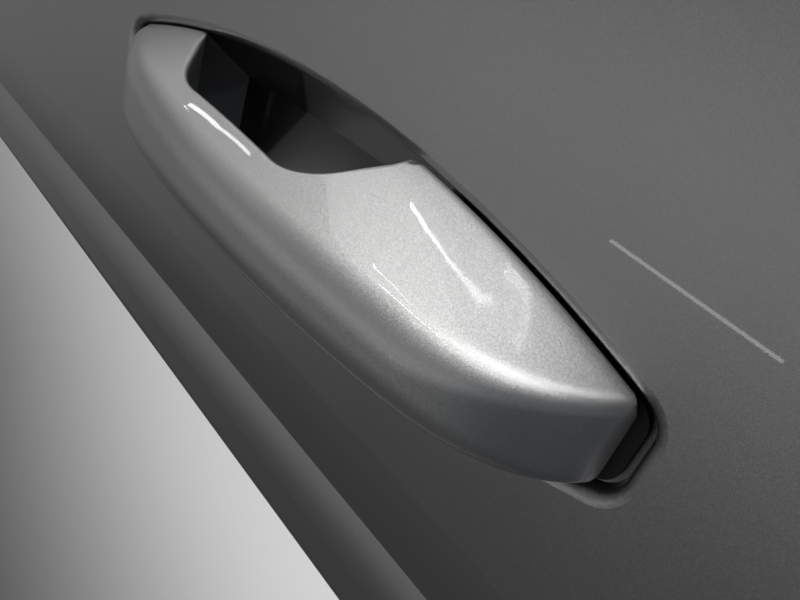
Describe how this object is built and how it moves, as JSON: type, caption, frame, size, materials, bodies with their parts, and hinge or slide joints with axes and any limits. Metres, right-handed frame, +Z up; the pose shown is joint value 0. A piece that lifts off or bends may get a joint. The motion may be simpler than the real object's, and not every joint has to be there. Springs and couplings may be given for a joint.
{
  "type": "car door pull handle on a section of door skin",
  "caption": "Pull-type outside door handle of a car, hinged at one end, in the pressed recess of a section of door skin, with its carrier and crank.",
  "frame": {"origin": "midway between the two threaded inserts on the carrier's back, on their rear faces", "axes": "+X along the handle towards its hinge end, +Y into the door, +Z up"},
  "size_m": [0.46, 0.0809, 0.209],
  "materials": {
    "skin_paint": "mid grey metallic paint under clear lacquer",
    "handle_paint": "bright silver metallic paint under clear lacquer",
    "carrier_plastic": "black glass-filled moulding",
    "gasket_rubber": "matt black moulded rubber",
    "cast_zinc": "die-cast zinc, as cast",
    "plated_steel": "zinc plated",
    "spring_steel": "oiled spring wire",
    "insert_brass": "turned and knurled"
  },
  "bodies": {
    "door": {"door_skin": "skin_paint", "weld_studs": "plated_steel", "carrier": "carrier_plastic", "brass_inserts": "insert_brass", "flange_nuts": "plated_steel", "near_gasket": "gasket_rubber", "far_gasket": "gasket_rubber", "hinge_pin": "plated_steel", "crank_pin": "plated_steel", "return_spring": "spring_steel"},
    "handle": {"grip": "handle_paint"},
    "crank": {"crank": "cast_zinc", "counterweight": "cast_zinc"}
  },
  "joints": [
    {"name": "handle_hinge", "type": "hinge", "parent": "door", "child": "handle", "pos_m": [0.102, -0.024, 0], "axis": [0, 0, 1], "range_deg": [0, 7], "stiffness_Nm_per_rad": 12, "springref_deg": -6.88},
    {"name": "crank_hinge", "type": "hinge", "parent": "door", "child": "crank", "pos_m": [-0.085, -0.0135, -0.024], "axis": [1, 0, 0], "range_deg": [0, 54.34]}
  ],
  "couplings": [
    {"joint": "crank_hinge", "follows": "handle_hinge", "ratio": 7.763}
  ]
}
